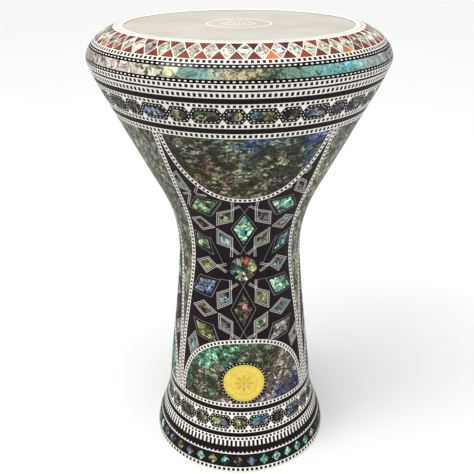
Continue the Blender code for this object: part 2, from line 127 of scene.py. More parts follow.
class Shader:
    """Builds the nodes of one procedural material; under lacquer only the coat shines."""

    def __init__(self, name, roughness, metallic=0, coat=0, coat_roughness=0.05,
                 lacquered=False):
        self.material = bpy.data.materials.new(name)
        self.material.use_nodes = True
        self.tree = self.material.node_tree
        self.bsdf = self.tree.nodes["Principled BSDF"]
        settings = {
            "Roughness": roughness,
            "Metallic": metallic,
            "Coat Weight": LACQUER if lacquered else coat,
            "Coat Roughness": coat_roughness,
            "IOR": 1.5,
        }
        if lacquered:
            settings["Specular IOR Level"] = 0
        for key, value in settings.items():
            self.bsdf.inputs[key].default_value = value
        self.place = self.add("TexCoord").outputs["Object"]

    def add(self, kind, inputs=(), **settings):
        node = self.tree.nodes.new("ShaderNode" + kind)
        for key, value in settings.items():
            setattr(node, key, value)
        for key, value in dict(inputs).items():
            if isinstance(value, bpy.types.NodeSocket):
                self.tree.links.new(value, node.inputs[key])
            else:
                node.inputs[key].default_value = value
        return node

    def scaled(self, x=1000, y=1000, z=1000):
        """Object coordinates times a scale for each axis; at 1000 a unit is a millimetre."""
        scale = {0: self.place, 1: (x, y, z)}
        return self.add("VectorMath", scale, operation="MULTIPLY").outputs[0]

    def noise(self, place, scale, detail=2, rough=0.5, output=0):
        return self.add(
            "TexNoise",
            {"Vector": place, "Scale": scale, "Detail": detail, "Roughness": rough},
        ).outputs[output]

    def ramp(self, value, stops, smooth=False):
        node = self.add("ValToRGB", {0: value})
        ramp = node.color_ramp
        ramp.interpolation = "EASE" if smooth else "LINEAR"
        while len(ramp.elements) < len(stops):
            ramp.elements.new(0.5)
        for element, (position, colour) in zip(ramp.elements, stops):
            element.position = position
            element.color = (*colour, 1)
        return node.outputs[0]

    def math(self, operation, a, b=0, clamp=False):
        return self.add("Math", {0: a, 1: b}, operation=operation, use_clamp=clamp).outputs[0]

    def times(self, a, b):
        return self.math("MULTIPLY", a, b)

    def plus(self, a, b, clamp=False):
        return self.math("ADD", a, b, clamp)

    def off_half(self, value):
        """How far a value is from a half: creases and veins run where it is nearly 0."""
        return self.math("ABSOLUTE", self.math("SUBTRACT", value, 0.5))

    def shaded(self, colour, value):
        """A colour multiplied by a grey of the given value."""
        grey = self.add("CombineColor", {0: value, 1: value, 2: value}).outputs[0]
        return self.mix(1, colour, grey, "MULTIPLY")

    def mix(self, factor, a, b, blend="MIX"):
        node = self.add("Mix", data_type="RGBA", blend_type=blend)
        for key, value in ((0, factor), (6, a), (7, b)):
            if isinstance(value, bpy.types.NodeSocket):
                self.tree.links.new(value, node.inputs[key])
            elif key == 0:
                node.inputs[key].default_value = value
            else:
                node.inputs[key].default_value = (*value, 1)
        return node.outputs[2]

    def between(self, value, low, high, to_low=0, to_high=1):
        return self.add(
            "MapRange",
            {"Value": value, "From Min": low, "From Max": high, "To Min": to_low,
             "To Max": to_high},
        ).outputs[0]

    def finish(self, colour, roughness=None, bump=None, strength=0.1):
        self.tree.links.new(colour, self.bsdf.inputs["Base Color"])
        if roughness is not None:
            self.tree.links.new(roughness, self.bsdf.inputs["Roughness"])
        if bump is not None:
            node = self.add("Bump", {"Height": bump, "Strength": strength, "Distance": 0.0001})
            self.tree.links.new(node.outputs[0], self.bsdf.inputs["Normal"])
        return self.material


def varied(s, tone, low, high, colour, spread):
    """A colour, given as 0 to 255, that varies by a share as tone goes from low to high."""
    colour = linear(*colour)
    dark = tuple(c * (1 - spread) for c in colour)
    light = tuple(min(c * (1 + spread), 1) for c in colour)
    return s.ramp(tone, ((low, dark), (high, light)))


def plain_inlay(name, colour, spread, roughness=0.3):
    """A plain strip of bone or ebony under lacquer, with faint clouding and grain."""
    s = Shader(name, roughness, lacquered=True)
    cloud = s.noise(s.scaled(), 0.09, 3)
    grain = s.noise(s.scaled(z=3000), 0.9, 3)
    tone = s.times(s.plus(grain, cloud), 0.5)
    colour = varied(s, tone, 0.38, 0.62, colour, spread)
    return s.finish(colour, s.between(grain, 0.3, 0.7, roughness - 0.05, roughness + 0.08))


def pushed_about(s, place, scale, reach):
    """Coordinates shifted by a slow noise, so that what reads them flows."""
    warp = s.noise(place, scale, 2, output="Color")
    return s.add(
        "VectorMath", {0: warp, 1: (reach,) * 3, 2: place}, operation="MULTIPLY_ADD"
    ).outputs[0]


def shell_piece(name, dark, main, light, tint, size=6.5, vein=0.045, shadow=0.62):
    """One piece of abalone: flowing bands of colour, dark patches and veins, bright flashes."""
    dark, main, light, tint = (linear(*colour) for colour in (dark, main, light, tint))
    s = Shader(name, 0.22, lacquered=True)
    place = s.scaled()
    pushed = pushed_about(s, place, 0.5 / size, size * 2.4)
    flow = s.noise(pushed, 1 / size, 2, 0.5)
    fine = s.noise(pushed, 2.6 / size, 3, 0.55)
    cells = s.add("TexVoronoi", {"Vector": pushed, "Scale": 1.15 / size})
    part = s.add("SeparateColor", {0: cells.outputs["Color"]})
    tone = s.plus(s.times(flow, 0.5), s.times(part.outputs[0], 0.5))
    colour = s.ramp(
        tone, ((0.2, dark), (0.33, main), (0.46, light), (0.56, tint), (0.68, main),
               (0.8, dark)), True
    )
    shade = s.times(s.between(fine, 0.34, 0.66, 0.4, 1.5),
                    s.between(part.outputs[1], 0, 1, 1 - shadow, 1.25))
    colour = s.shaded(colour, shade)
    line = s.off_half(flow)
    colour = s.mix(s.between(line, vein * 0.2, vein), tuple(c * 0.1 for c in dark), colour)
    return s.finish(colour)


def mosaic(name, zones, chip=3.2, long_way=1.7, dark=0.5, grout=(0.004, 0.0035, 0.0035),
           zone_size=42, bright=1, zone_shift=(0, 0, 0), lean=(0, 0, 0), base=0, patchy=0.6):
    """Crumpled shards of shell laid close in dark resin; zones are colours they drift through.

    lean drifts the zones steadily along a direction, per millimetre, from base."""
    s = Shader(name, 0.24, lacquered=True)
    pushed = pushed_about(s, s.scaled(z=1000 * long_way), 0.22, chip * 3)
    cells = s.add("TexVoronoi", {"Vector": pushed, "Scale": 1 / chip})
    gaps = s.add(
        "TexVoronoi", {"Vector": pushed, "Scale": 1 / chip}, feature="DISTANCE_TO_EDGE"
    ).outputs["Distance"]
    split = s.add("SeparateColor", {0: cells.outputs["Color"]})
    one, two = split.outputs[0], split.outputs[1]
    place = s.scaled()
    shifted = s.add("VectorMath", {0: place, 1: zone_shift}).outputs[0]
    zone = s.noise(shifted, 1 / zone_size, 2, 0.5)
    drift = s.add("VectorMath", {0: place, 1: lean}, operation="DOT_PRODUCT").outputs["Value"]
    spread_out = 0.45 if any(lean) else 0.95
    tone = s.plus(s.between(zone, 0.3, 0.7, 0.02, spread_out), s.between(one, 0, 1, -0.12, 0.12))
    tone = s.plus(tone, s.plus(drift, base), clamp=True)
    last = len(zones) - 1
    colour = s.ramp(tone, tuple((i / last, linear(*c)) for i, c in enumerate(zones)))
    streak = s.noise(pushed, 1 / chip, 3, 0.55)
    crease = s.off_half(streak)
    crease = s.between(crease, 0, 0.1, 2.1, 0.55)
    lit = s.noise(shifted, 1.6 / zone_size, 2)
    light = s.times(s.math("POWER", two, 1 + 2 * dark),
                    s.between(lit, 0.42, 0.66, 1 - patchy, 1 + 1.7 * patchy))
    light = s.times(s.between(light, 0, 1, 0.16, 1.7 * bright), crease)
    colour = s.shaded(colour, light)
    colour = s.mix(s.between(gaps, 0.01, 0.08), grout, colour)
    return s.finish(colour, s.between(two, 0, 1, 0.18, 0.34))


def metal(name, colour, roughness, grain=0.1, scale=(300, 300, 300), spread=0.12, bump=0.15):
    """Cast or turned metal with a fine grain, blotches and uneven polish."""
    s = Shader(name, roughness, metallic=1)
    fine = s.noise(s.scaled(*scale), 3, 4)
    blotch = s.noise(s.scaled(), 0.05, 3)
    tone = s.plus(s.times(fine, 0.5), s.times(blotch, 0.5))
    colour = varied(s, tone, 0.35, 0.65, colour, spread)
    rough = s.between(tone, 0.35, 0.65, roughness - grain / 2, roughness + grain)
    return s.finish(colour, rough, fine, bump)


IVORY = plain_inlay("ivory_strip", (236, 230, 221), 0.07)
EBONY = plain_inlay("ebony_strip", (14, 9, 12), 0.3, 0.28)
GROUND = plain_inlay("black_ground", (20, 12, 17), 0.3, 0.26)
SILVER = plain_inlay("tin_line", (205, 198, 190), 0.16)
HAIRLINE = plain_inlay("hairline", (150, 141, 142), 0.15)
MAROON = plain_inlay("maroon_chip", (118, 58, 50), 0.35)
BRICK = plain_inlay("brick_chip", (138, 62, 48), 0.35)
PLUM = plain_inlay("plum_chip", (92, 50, 50), 0.35)
ORANGE = plain_inlay("orange_chip", (196, 112, 62), 0.3)

GREEN = shell_piece("shell_green", (26, 34, 30), (74, 112, 76), (160, 204, 150), (200, 196, 150))
MINT = shell_piece("shell_mint", (36, 52, 86), (96, 176, 150), (190, 246, 214), (212, 222, 180),
                   shadow=0.45)
TEAL = shell_piece("shell_teal", (20, 40, 48), (84, 134, 130), (172, 214, 198), (110, 118, 150))
BLUE = shell_piece("shell_blue", (30, 28, 50), (88, 98, 136), (164, 190, 204), (130, 140, 110))
OLIVE = shell_piece("shell_olive", (36, 38, 22), (124, 130, 74), (204, 206, 146), (150, 146, 112))
ROSE = shell_piece("shell_rose", (26, 22, 20), (104, 96, 70), (190, 140, 136), (90, 104, 72),
                   shadow=0.8)
PALE = shell_piece("shell_pale", (60, 58, 54), (158, 158, 146), (226, 222, 212), (188, 172, 176))
AMBER = shell_piece("shell_amber", (26, 20, 14), (96, 80, 50), (170, 150, 100), (90, 88, 66),
                    shadow=0.8)
SMOKE = shell_piece("shell_smoke", (20, 19, 24), (74, 72, 84), (156, 156, 154), (90, 80, 106),
                    shadow=0.8)
CORAL = shell_piece("shell_coral", (130, 44, 60), (186, 84, 104), (222, 150, 156), (170, 110, 96),
                    shadow=0.3)
MURK = shell_piece("shell_murk", (20, 20, 18), (66, 68, 54), (144, 146, 116), (72, 84, 74),
                   shadow=0.75)
PEARL = shell_piece("pearl_diamond", (120, 112, 96), (206, 200, 178), (242, 240, 226),
                    (170, 200, 176), 5, 0.016, shadow=0.35)
PINK_PEARL = shell_piece("pearl_diamond_pink", (100, 84, 96), (200, 180, 176), (240, 232, 220),
                         (160, 190, 200), 5, 0.02, shadow=0.4)
GREEN_PEARL = shell_piece("pearl_diamond_green", (90, 104, 84), (186, 196, 160), (232, 240, 220),
                          (200, 176, 170), 5, 0.02, shadow=0.4)
DARK_PEARL = shell_piece("pearl_diamond_dark", (70, 60, 70), (150, 136, 124), (214, 214, 196),
                         (120, 140, 150), 5, 0.03, shadow=0.5)
DARK_MOSAIC = mosaic(
    "dark_mosaic",
    ((100, 120, 78), (120, 92, 70), (88, 80, 80), (92, 102, 84), (140, 130, 104), (100, 118, 96),
     (84, 100, 104), (88, 104, 146), (104, 98, 160), (98, 90, 140)),
    3.6, 1.8, 0.75, bright=1.08, zone_shift=(31, 7, -440), lean=(0.0034, 0, 0.0088),
    base=-2.83, zone_size=26, patchy=0.85,
)
GREEN_MOSAIC = mosaic(
    "green_mosaic",
    ((100, 86, 140), (92, 114, 156), (134, 126, 120), (176, 148, 148), (168, 160, 138),
     (112, 116, 98), (108, 94, 86), (114, 122, 84), (96, 124, 96), (102, 152, 126),
     (112, 176, 148)),
    4.2, 1.2, 0.55, zone_size=22, bright=0.95, zone_shift=(3, 70, 12),
    lean=(-0.005, 0, 0.0085), base=-0.55, patchy=0.6,
)
GREY_MOSAIC = mosaic(
    "grey_mosaic",
    ((120, 122, 92), (132, 130, 108), (142, 140, 122), (114, 124, 102), (132, 124, 120),
     (126, 130, 110)),
    3, 0.6, 0.3, grout=(0.03, 0.027, 0.02), bright=0.9, patchy=0.4,
)

# Colours of the pearl band round the ring, as (degrees from the front towards +X, colour)
PEARL_ZONES = (
    (-180, (196, 190, 168)), (-160, (128, 146, 130)), (-145, (206, 190, 188)),
    (-125, (150, 168, 164)), (-105, (176, 170, 150)), (-88, (166, 160, 152)),
    (-66, (186, 178, 166)), (-48, (230, 210, 210)), (-34, (238, 226, 214)),
    (-24, (232, 228, 196)), (-17, (124, 164, 158)), (-9, (110, 146, 148)),
    (-4, (184, 178, 150)), (6, (170, 162, 128)), (13, (116, 138, 116)), (22, (104, 140, 124)),
    (30, (120, 172, 168)), (42, (124, 192, 198)), (52, (170, 194, 194)), (64, (176, 176, 178)),
    (90, (150, 140, 144)), (110, (190, 186, 164)), (135, (112, 154, 144)),
    (155, (200, 192, 180)), (180, (196, 190, 168)),
)


def pearl_band():
    """Polished shell that runs from pink and cream through green to turquoise, dark veined."""
    s = Shader("pearl_band", 0.16, lacquered=True)
    place = s.scaled()
    pushed = pushed_about(s, place, 0.08, 16)
    split = s.add("SeparateXYZ", {0: pushed_about(s, place, 0.1, 24)})
    ahead = s.times(split.outputs[1], -1)
    angle = s.math("ARCTAN2", split.outputs[0], ahead)
    turn = s.plus(s.times(angle, 0.5 / pi), 0.5)
    colour = s.ramp(turn, tuple((a / 360 + 0.5, linear(*c)) for a, c in PEARL_ZONES))
    fine = s.noise(pushed, 0.5, 3, 0.6)
    tint = s.noise(pushed, 0.2, 2, 0.5)
    blush = s.ramp(tint, ((0.36, linear(196, 236, 226)), (0.5, linear(252, 250, 246)),
                          (0.64, linear(236, 214, 200))))
    colour = s.mix(0.75, colour, blush, "MULTIPLY")
    cells = s.add("TexVoronoi", {"Vector": pushed, "Scale": 0.14})
    part = s.add("SeparateColor", {0: cells.outputs["Color"]}).outputs[1]
    shade = s.times(s.between(fine, 0.34, 0.66, 0.62, 1.4), s.between(part, 0, 1, 0.62, 1.28))
    colour = s.shaded(colour, shade)
    veins = s.noise(pushed, 0.11, 2, 0.5)
    where = s.noise(place, 0.018, 1)
    width = s.between(where, 0.38, 0.6, 0.014, 0.07)
    line = s.off_half(veins)
    line = s.math("DIVIDE", line, width, clamp=True)
    return s.finish(s.mix(line, linear(30, 38, 24), colour))


PEARL_BAND = pearl_band()


def gold_disc():
    s = Shader("medallion_gold", 0.34, metallic=1, coat=0.6, coat_roughness=0.12)
    blotch = s.noise(s.scaled(), 0.12, 4, 0.6)
    fine = s.noise(s.scaled(400, 1000, 4000), 1, 3)
    colour = s.ramp(blotch, ((0.32, linear(216, 188, 60)), (0.68, linear(236, 214, 100))))
    return s.finish(colour, s.between(blotch, 0.3, 0.7, 0.26, 0.44), fine, 0.2)


GOLD = gold_disc()
# Darker gold for the medallion's grooves, petals and button: painted shade of its stamped relief.
GOLD_PAINTED_SHADE = metal("medallion_painted_shade", (206, 180, 80), 0.38, 0.1)


def head_film():
    s = Shader("head_film", 0.42, coat=0.25, coat_roughness=0.3)
    fine = s.noise(s.scaled(), 1.6, 2)
    blotch = s.noise(s.scaled(), 0.018, 3)
    colour = s.ramp(blotch, ((0.35, linear(205, 199, 187)), (0.65, linear(214, 208, 197))))
    return s.finish(colour, s.between(blotch, 0.3, 0.7, 0.38, 0.5), fine, 0.12)


HEAD_FILM = head_film()
PRINT = plain_inlay("head_print", (252, 250, 246), 0.02, 0.45)
CAST = metal("cast_aluminium", (168, 168, 170), 0.42, 0.16, (500, 500, 500), 0.1, 0.5)
TURNED = metal("turned_aluminium", (190, 189, 188), 0.3, 0.12, (120, 120, 2500))
STEEL = metal("black_steel", (52, 52, 56), 0.36, 0.12)


# --- laying inlay on the drum ---


def placed(name, data):
    """A new object in the scene for a mesh, a light or a camera."""
    made = bpy.data.objects.new(name, data)
    bpy.context.scene.collection.objects.link(made)
    return made


class Inlay:
    """Shapes laid on a turned surface, gathered as one piece."""

    def __init__(self, profile, turn=0):
        self.profile = profile
        self.turn = turn
        self.points = []
        self.faces = []
        self.finishes = []

    def lay(self, shapes, lift=0, thick=SKIN):
        """One solid: shapes are (finish, corners) that share edges, corners (degrees, down)."""
        seen, places, loops = {}, [], []
        for finish, corners in shapes:
            loop = []
            for degrees, down in corners:
                key = (round(degrees % 360, 4) % 360, round(float(down), 3))
                if key not in seen:
                    seen[key] = len(places)
                    places.append((degrees, down))
                if seen[key] not in loop:
                    loop.append(seen[key])
            ends = corners[1:] + corners[:1]
            area = sum(b[0] * a[1] - a[0] * b[1] for a, b in zip(corners, ends))
            if area < 0:
                loop.reverse()
            loops.append((finish, loop))
        base, count = len(self.points), len(places)
        for sunk in (0, thick):
            for degrees, down in places:
                self.points.append(self.profile.point(degrees + self.turn, down, lift - sunk))
        sides = {}
        for finish, loop in loops:
            self.faces.append([base + i for i in loop])
            self.faces.append([base + count + i for i in reversed(loop)])
            self.finishes += [finish, finish]
            for edge in zip(loop, loop[1:] + loop[:1]):
                sides[edge] = finish
        for (a, b), finish in sides.items():
            if (b, a) not in sides:
                self.faces.append([base + b, base + a, base + count + a, base + count + b])
                self.finishes.append(finish)

    def turned(self, section, count, finish, centre=(0, 0)):
        """A closed (radius, height) section turned about an upright axis."""
        base, sides = len(self.points), len(section)
        for i in range(count):
            a = tau * i / count
            for r, z in section:
                x, y = centre[0] + r * cos(a), centre[1] + r * sin(a)
                self.points.append((x * MM, y * MM, z * MM))
            here, ahead = base + i * sides, base + (i + 1) % count * sides
            for j in range(sides):
                k = (j + 1) % sides
                self.faces.append([here + j, ahead + j, ahead + k, here + k])
                self.finishes.append(finish)

    def patch(self, outline, back, finish, rings=3):
        """A convex piece of shell that follows the surface."""
        self.lay(filled(divided(outline), back, finish, rings), LAYER, THIN)

    def done(self, node, slot, body="goblet", name=None):
        """Makes the piece, which stands for its CAD node where it has one."""
        name = name or f"{node}_inlay"
        mesh = bpy.data.meshes.new(name)
        mesh.from_pydata(self.points, [], self.faces)
        kinds = list(dict.fromkeys(self.finishes))
        for kind in kinds:
            mesh.materials.append(kind)
        mesh.polygons.foreach_set("material_index", [kinds.index(f) for f in self.finishes])
        mesh.update()
        mesh.shade_smooth()
        mesh.set_sharp_from_angle(angle=radians(SHARP_ANGLE))
        piece = placed(name, mesh)
        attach(piece, body)
        if node:
            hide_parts(node)


def one_piece(node, slot, shapes, turn, lift=0):
    """A piece on the goblet made of one solid."""
    piece = Inlay(BODY, turn)
    piece.lay(shapes, lift)
    piece.done(node, slot)


def spread(start, end, count):
    """count + 1 evenly spaced values with both ends."""
    return [start + (end - start) * i / count for i in range(count + 1)]


def grid(rows, finish):
    """Quads between rows of (degrees, down) points."""
    return [
        (finish, [a, b, d, c])
        for upper, lower in zip(rows, rows[1:])
        for a, b, c, d in zip(upper, upper[1:], lower, lower[1:])
    ]


def hoop(start, end, finish, count=PLAIN_SIDES, rows=None):
    """A plain turned strip."""
    rows = rows or max(1, round((end - start) / STEP))
    turns = spread(0, 360, count)
    return grid([[(a, s) for a in turns] for s in spread(start, end, rows)], finish)


# Faces between a cell's outline (corners 0 to 7) and the bead in it (corners 8 to 15)
BEAD_FACES = (
    (0, 1, 8), (1, 9, 8), (1, 2, 10, 9), (2, 3, 10), (3, 11, 10), (3, 4, 11), (4, 12, 11),
    (4, 5, 12), (5, 13, 12), (5, 6, 14, 13), (6, 7, 14), (7, 15, 14), (7, 0, 15), (0, 8, 15),
)


def beads(place, count, long, tall, corner, inside, outside):
    """A strip of cells with an eight-sided bead in each; place(u, v) gives (degrees, down).

    long and tall are a bead's shares of its cell, and corner is how much of it is cut off."""
    shapes = []
    half, cut, trim = long / 2, corner * long / 2, corner * tall
    for k in range(count):
        middle = k + 0.5
        outline = [(k, 0), (k, -1), (middle, -1), (k + 1, -1), (k + 1, 0), (k + 1, 1),
                   (middle, 1), (k, 1)]
        bead = [
            (middle - half, -tall + trim), (middle - half + cut, -tall),
            (middle + half - cut, -tall), (middle + half, -tall + trim),
            (middle + half, tall - trim), (middle + half - cut, tall),
            (middle - half + cut, tall), (middle - half, tall - trim),
        ]
        corners = [place(*p) for p in outline + bead]
        shapes.append((inside, corners[8:]))
        shapes += [(outside, [corners[i] for i in face]) for face in BEAD_FACES]
    return shapes


# Kinds of bead strip: a bead's shares of its cell along and across, its cut corners, colours
SQUARE = (0.57, 0.62, 0.2, EBONY, IVORY)
DASH = (0.52, 0.3, 0.6, IVORY, EBONY)
BAR = (0.46, 0.97, 0.1, IVORY, EBONY)
FLECK = (0.5, 0.5, 0.4, HAIRLINE, IVORY)


def round_drum(start, end, count):
    """Cells round the drum between two distances."""
    middle, half = (start + end) / 2, (end - start) / 2
    return lambda u, v: (360 * u / count, middle + half * v)


# Ribbons of turned strips as (start, end, kind, how many round), for each CAD node
RING_RIBBONS = {
    "ring_upper_ribbon": ((25.8, 30, SQUARE, 183), (30, 33.7, DASH, 181)),
    "ring_lower_ribbon": ((41.8, 45, DASH, 188), (45, 49.1, SQUARE, 190)),
}
BODY_RIBBONS = {
    "shoulder_upper_ribbon": (
        (0.5, 5.8, SQUARE, 194), (5.8, 10.8, EBONY, PLAIN_SIDES), (10.8, 14.9, SQUARE, 186),
    ),
    "shoulder_lower_ribbon": (
        (30.4, 35.1, SQUARE, 174), (35.1, 40.5, EBONY, PLAIN_SIDES), (40.5, 45.7, SQUARE, 171),
    ),
    "foot_upper_ribbon": (
        (349.5, 353.8, SQUARE, 110), (353.8, 359.1, EBONY, PLAIN_SIDES),
        (359.1, 363.5, SQUARE, 115),
    ),
    "foot_middle_ribbon": (
        (379.1, 382.9, SQUARE, 117), (382.9, 387.3, EBONY, PLAIN_SIDES),
        (387.3, 391.1, SQUARE, 122),
    ),
    "foot_rim_strip": ((420.4, 425.6, SQUARE, 120),),
}


def ribbon(name, profile, strips, body="goblet"):
    piece = Inlay(profile)
    for start, end, kind, count in strips:
        if isinstance(kind, tuple):
            piece.lay(beads(round_drum(start, end, count), count, *kind))
        else:
            piece.lay(hoop(start, end, kind, count))
    piece.done(name, "bead_strip", body)


def flat(profile, corners):
    """(degrees, down) corners as millimetres on a plane about their middle, and the way back."""
    degrees = sum(a for a, _ in corners) / len(corners)
    down = sum(s for _, s in corners) / len(corners)

    def onto(a, s):
        return Vector((radians(a - degrees) * profile.radius(s), s - down))

    def back(p):
        s = down + p.y
        return degrees + math.degrees(p.x / profile.radius(s)), s

    return [onto(*c) for c in corners], back


def shrink(corners, by):
    """A convex outline with every side moved in by a distance, or out if it is negative."""
    sides = list(zip(corners, corners[1:] + corners[:1]))
    area = sum(a.x * b.y - b.x * a.y for a, b in sides)
    inward = by if area > 0 else -by
    lines = [(a + sideways(a, b, inward), (b - a).normalized()) for a, b in sides]
    made = []
    for (p, d), (q, e) in zip(lines[-1:] + lines[:-1], lines):
        cross = d.x * e.y - d.y * e.x
        t = ((q.x - p.x) * e.y - (q.y - p.y) * e.x) / cross
        made.append(p + d * t)
    return made


def steps_from(a, b, count=None):
    """Points from a on towards b, without b, at most a step apart where no count is given."""
    count = count or max(1, math.ceil((b - a).length / STEP))
    return [a.lerp(b, i / count) for i in range(count)]


def divided(corners):
    """An outline with points added along its sides."""
    return sum((steps_from(a, b) for a, b in zip(corners, corners[1:] + corners[:1])), [])


def filled(outline, back, finish, rings=3):
    """A convex patch as rings of quads about its middle."""
    centre = sum(outline, Vector((0, 0))) / len(outline)
    loops = [[centre.lerp(p, share) for p in outline] for share in spread(0, 1, rings)[1:]]
    shapes = []
    ends = list(range(1, len(outline))) + [0]
    for i, j in enumerate(ends):
        shapes.append((finish, [back(p) for p in (centre, loops[0][i], loops[0][j])]))
        for inner, outer in zip(loops, loops[1:]):
            shapes.append((finish, [back(p) for p in (inner[i], outer[i], outer[j], inner[j])]))
    return shapes


def rim(corners, back, start, end, finish):
    """A line of even width round an outline, between two distances in from it."""
    outer, inner = shrink(corners, start), shrink(corners, end)
    rows = ([], [])
    for a, b, c, d in zip(outer, outer[1:] + outer[:1], inner, inner[1:] + inner[:1]):
        steps = steps_from(a, b)
        rows[0].extend(back(p) for p in steps)
        rows[1].extend(back(p) for p in steps_from(c, d, len(steps)))
    return grid([row + row[:1] for row in rows], finish)


def sideways(a, b, distance):
    """The vector of that length square to the way from a to b."""
    along = (b - a).normalized()
    return Vector((-along.y, along.x)) * distance


def line(start, end, width, finish):
    """A straight line of inlay on the goblet between two (degrees, down) points."""
    (a, b), back = flat(BODY, [start, end])
    side = sideways(a, b, width / 2)
    steps = steps_from(a, b) + [b]
    return grid([[back(p - side) for p in steps], [back(p + side) for p in steps]], finish)


# --- tension ring ---

for name, strips in RING_RIBBONS.items():
    ribbon(name, RING, strips, body="ring")

DIAMONDS = 60
DIAMOND_TOP, DIAMOND_MIDDLE, DIAMOND_BOTTOM = 7.2, 17.2, 25.8
LIP_SIDES = 156
LIP_BEADS = 220
lip = Inlay(RING)
lip.lay(hoop(0, 2.2, IVORY, LIP_SIDES))
lip.lay(beads(round_drum(2.2, 4.8, LIP_BEADS), LIP_BEADS, *FLECK))
lip.lay(hoop(4.8, DIAMOND_TOP, IVORY, LIP_SIDES))
# A flat round bead on the lip's inner edge: its circle, height, half width and half thickness
EDGE_RADIUS, EDGE_HEIGHT, EDGE_WIDE, EDGE_TALL, EDGE_SIDES = 104.4, 438.8, 1.1, 0.2, 10
edge = [(EDGE_RADIUS + EDGE_WIDE * cos(b), EDGE_HEIGHT + EDGE_TALL * sin(b))
        for b in spread(0, tau, EDGE_SIDES)[:-1]]
lip.turned(edge, 160, IVORY)
lip.done("ring_lip_strip", "bead_strip", "ring")

pearl = Inlay(RING)
pearl.lay(hoop(33.7, 41.8, PEARL_BAND, 180, 5))
pearl.done("ring_pearl_band", "pearl", "ring")

CHIP_COLUMNS = 6  # columns of cells in one coloured triangle
CHIPS_SUNK = 0.02
DIAMOND_TURN = 1.8
DIAMOND_LINE = 0.75  # width of the ivory line round a diamond
# Corners of a diamond, as shares of half its pitch across and distances down
DIAMOND_OUTLINE = (
    (-0.12, DIAMOND_TOP), (0.12, DIAMOND_TOP), (1.02, DIAMOND_MIDDLE), (0.14, DIAMOND_BOTTOM),
    (-0.14, DIAMOND_BOTTOM), (-1.02, DIAMOND_MIDDLE),
)
diamonds = Inlay(RING)
for top, bottom, chips in (
    (DIAMOND_TOP, DIAMOND_MIDDLE, (MAROON, MAROON, MAROON, PLUM, BRICK)),
    (DIAMOND_MIDDLE, DIAMOND_BOTTOM, (MAROON, BRICK, MAROON, BRICK, PLUM, MAROON, ORANGE)),
):
    shades = [random.choice(chips) for _ in range(DIAMONDS)]
    cells = hoop(top, bottom, None, DIAMONDS * CHIP_COLUMNS, 3)
    shapes = []
    for number, (_, corners) in enumerate(cells):
        column = number % (DIAMONDS * CHIP_COLUMNS) + CHIP_COLUMNS // 2
        moved = [(a + DIAMOND_TURN, s) for a, s in corners]
        shapes.append((shades[column // CHIP_COLUMNS % DIAMONDS], moved))
    diamonds.lay(shapes, -CHIPS_SUNK)
for k in range(DIAMONDS):
    a = 360 * (k + 0.5) / DIAMONDS + DIAMOND_TURN
    corners, back = flat(RING, [(a + x * 180 / DIAMONDS, s) for x, s in DIAMOND_OUTLINE])
    diamonds.lay(rim(corners, back, 0, DIAMOND_LINE, IVORY), LAYER, DOT)
    finish = random.choice((PEARL, PEARL, PINK_PEARL, GREEN_PEARL, GREEN_PEARL, DARK_PEARL))
    shell = divided(shrink(corners, DIAMOND_LINE))
    diamonds.lay(filled(shell, back, finish, 4), LAYER, DOT)
diamonds.done("ring_diamond_band", "pearl_diamond", "ring")

# --- goblet: turned bands ---

for name, strips in BODY_RIBBONS.items():
    ribbon(name, BODY, strips)


# The long and the short hexagon of a pair: middle and width as shares of the pair
HEXAGONS = ((0.29, 0.577), (0.79, 0.423))
HEXAGON_OVERLAP = 1.7
HEXAGON_SLANT = 0.33  # how far its ends slope, as a share of its height
TRACK_INSET = 1.7  # how far in from a frame's edge its dots run
TRACK_PITCH = 3.1
# Outline of a dot of the track, along it and across it
TRACK_DOT = ((-0.75, 0), (-0.42, -0.38), (0.42, -0.38), (0.75, 0), (0.42, 0.38), (-0.42, 0.38))
SHELL_INSET = 3.5


def chain(name, start, end, pairs, turn, finishes):
    """Long and short hexagons of shell in black dotted frames, on a pale ground.

    finishes holds the two chips of each hexagon, left and right."""
    piece = Inlay(BODY)
    piece.lay(hoop(start, end, IVORY))
    middle, tall, pitch = (start + end) / 2, end - start, 360 / pairs
    slant = tall * HEXAGON_SLANT
    spots = [(turn + pitch * (k + c), width) for k in range(pairs) for c, width in HEXAGONS]
    for number, (a, width) in enumerate(spots):
        half = radians(pitch * width / 2) * BODY.radius(middle) + HEXAGON_OVERLAP
        corners = [Vector(p) for p in (
            (-half, 0), (-half + slant, -tall / 2), (half - slant, -tall / 2),
            (half, 0), (half - slant, tall / 2), (-half + slant, tall / 2),
        )]

        def back(p, a=a):
            s = middle + p.y
            return a + math.degrees(p.x / BODY.radius(s)), s

        piece.patch(corners, back, EBONY)
        left, right = finishes[number % len(finishes)]
        chips = []
        for _, cell in filled(divided(shrink(corners, SHELL_INSET)), back, left):
            across = sum(c[0] for c in cell) / len(cell) - a
            chips.append((left if across < 0 else right, cell))
        piece.lay(chips, 2 * LAYER, THIN)
        track = shrink(corners, TRACK_INSET)
        for p, q in zip(track, track[1:] + track[:1]):
            count = max(2, round((q - p).length / TRACK_PITCH))
            along, side = (q - p).normalized(), sideways(p, q, 1)
            for m in (p.lerp(q, (i + 0.5) / count) for i in range(count)):
                dot = [back(m + along * u + side * v) for u, v in TRACK_DOT]
                piece.lay([(IVORY, dot)], 2 * LAYER, DOT)
    piece.done(name, "chain_inlay")


